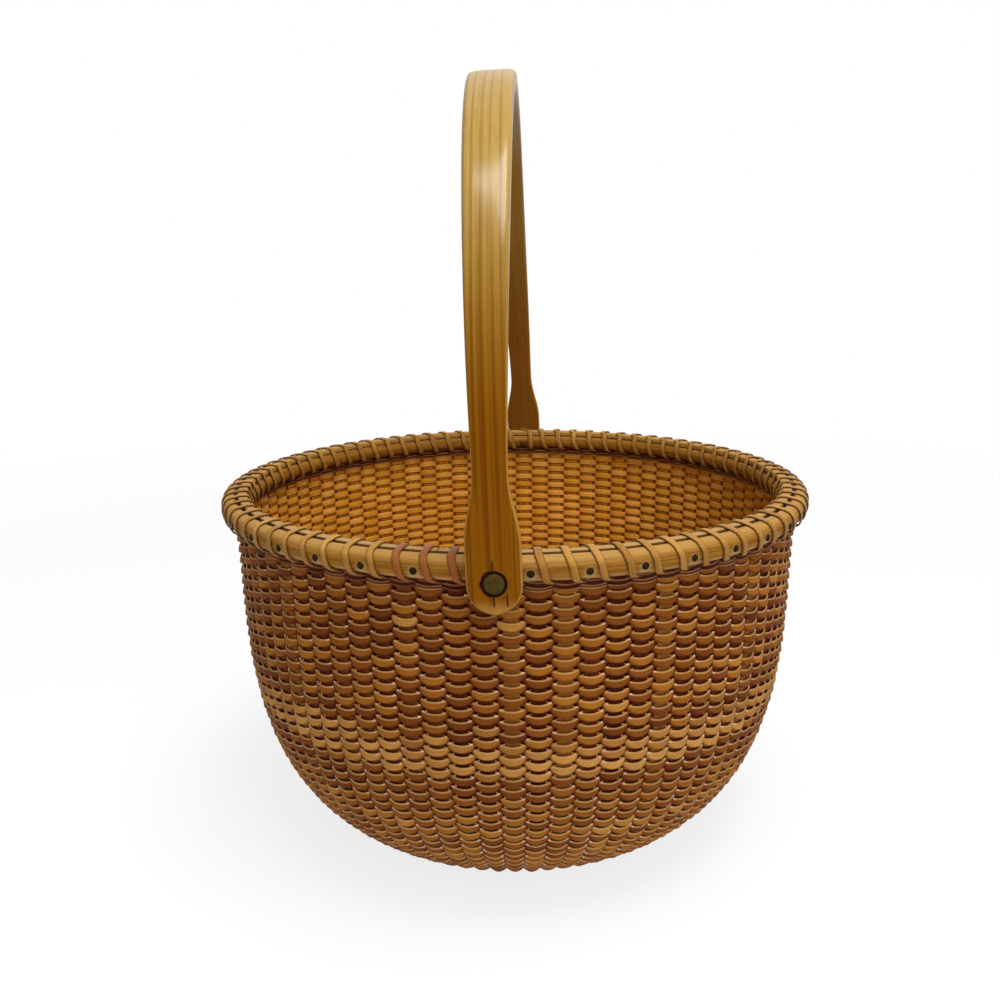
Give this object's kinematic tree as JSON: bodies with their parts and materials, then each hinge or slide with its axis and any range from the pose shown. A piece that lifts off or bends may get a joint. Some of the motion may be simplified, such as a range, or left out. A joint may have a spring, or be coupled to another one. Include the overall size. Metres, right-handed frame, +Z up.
{
  "type": "woven handle basket",
  "caption": "Round woven cane basket with deep bowl sides, a lashed wooden rim and a bent wooden handle that swings on two rivets.",
  "frame": {"origin": "centre of the base's underside, on the surface that the basket stands on", "axes": "+Z up; the handle's hinge line runs along Y, with the front rivet at -Y"},
  "size_m": [0.2541, 0.2676, 0.3208],
  "materials": {
    "woven_cane": "satin aged cane",
    "stave_wood": "satin aged wood",
    "rim_wood": "satin varnish",
    "lashing_cane": "satin aged cane",
    "handle_wood": "gloss varnish",
    "base_wood": "satin varnish",
    "aged_brass": "tarnished",
    "nail_metal": "dark tarnish"
  },
  "bodies": {
    "basket": {"base_plate": "base_wood", "staves": "stave_wood", "weave": "woven_cane", "outer_hoop": "rim_wood", "inner_hoop": "rim_wood", "rim_cap": "rim_wood", "rim_lashing": "lashing_cane", "rivet_front": "aged_brass", "rivet_back": "aged_brass", "nail_01": "nail_metal", "nail_02": "nail_metal", "nail_03": "nail_metal", "nail_04": "nail_metal", "nail_05": "nail_metal", "nail_06": "nail_metal", "nail_07": "nail_metal", "nail_08": "nail_metal", "nail_09": "nail_metal", "nail_10": "nail_metal", "nail_11": "nail_metal", "nail_12": "nail_metal", "nail_13": "nail_metal", "nail_14": "nail_metal", "nail_15": "nail_metal", "nail_16": "nail_metal", "nail_17": "nail_metal", "nail_18": "nail_metal", "nail_19": "nail_metal", "nail_20": "nail_metal", "nail_21": "nail_metal", "nail_22": "nail_metal", "nail_23": "nail_metal", "nail_24": "nail_metal", "nail_25": "nail_metal", "nail_26": "nail_metal", "nail_27": "nail_metal", "nail_28": "nail_metal", "nail_29": "nail_metal", "nail_30": "nail_metal", "nail_31": "nail_metal", "nail_32": "nail_metal", "nail_33": "nail_metal", "nail_34": "nail_metal", "nail_35": "nail_metal", "nail_36": "nail_metal", "nail_37": "nail_metal", "nail_38": "nail_metal", "nail_39": "nail_metal", "nail_40": "nail_metal"},
    "handle": {"handle": "handle_wood"}
  },
  "joints": [
    {"name": "handle_swing", "type": "hinge", "parent": "basket", "child": "handle", "pos_m": [0, 0, 0.1467], "axis": [0, 1, 0], "range_deg": [-138, 142]}
  ]
}
